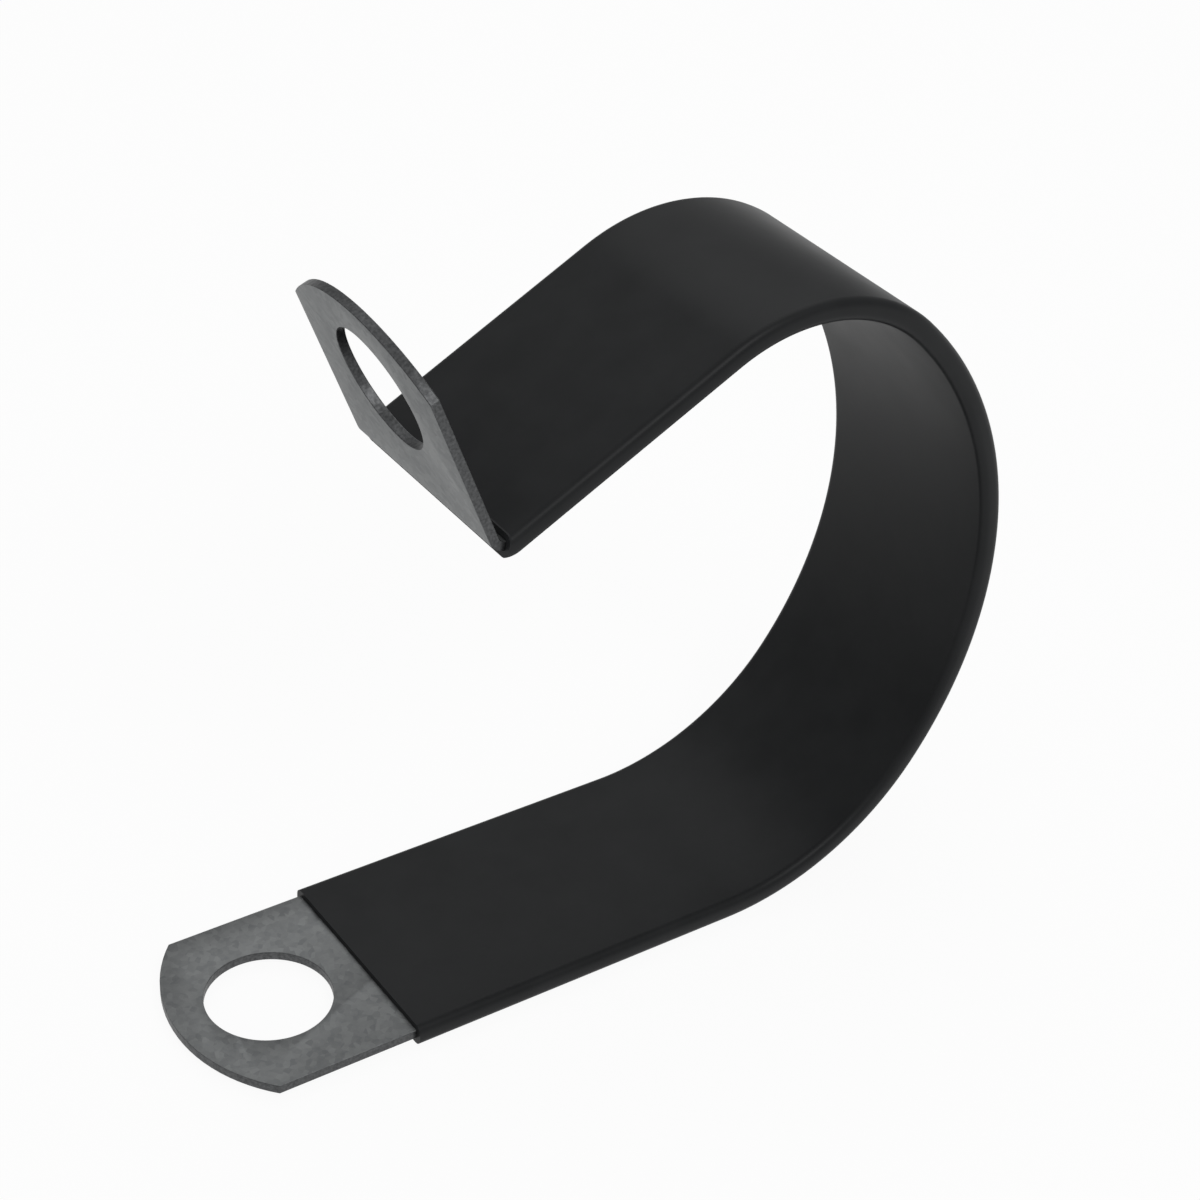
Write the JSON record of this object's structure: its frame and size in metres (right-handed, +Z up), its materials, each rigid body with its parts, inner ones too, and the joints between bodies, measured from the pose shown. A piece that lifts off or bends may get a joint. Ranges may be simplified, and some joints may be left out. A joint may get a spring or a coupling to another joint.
{
  "type": "P clip",
  "caption": "Open P clip: a flat zinc-coated steel strap bent into a loop under a black vinyl sleeve, with a fixing hole in each bare end tab.",
  "frame": {"origin": "centre of the foot's fixing hole, on the underside of the steel", "axes": "+X along the flat foot towards the loop, +Y across the strap, +Z up, along the hole, towards the loop's inside"},
  "size_m": [0.0709, 0.0202, 0.0615],
  "materials": {
    "galvanised_steel": "matt galvanised steel, mottled grey",
    "black_vinyl": "satin black PVC sleeve"
  },
  "bodies": {
    "root": {"steel_strap": "galvanised_steel", "vinyl_sleeve": "black_vinyl"}
  },
  "joints": []
}
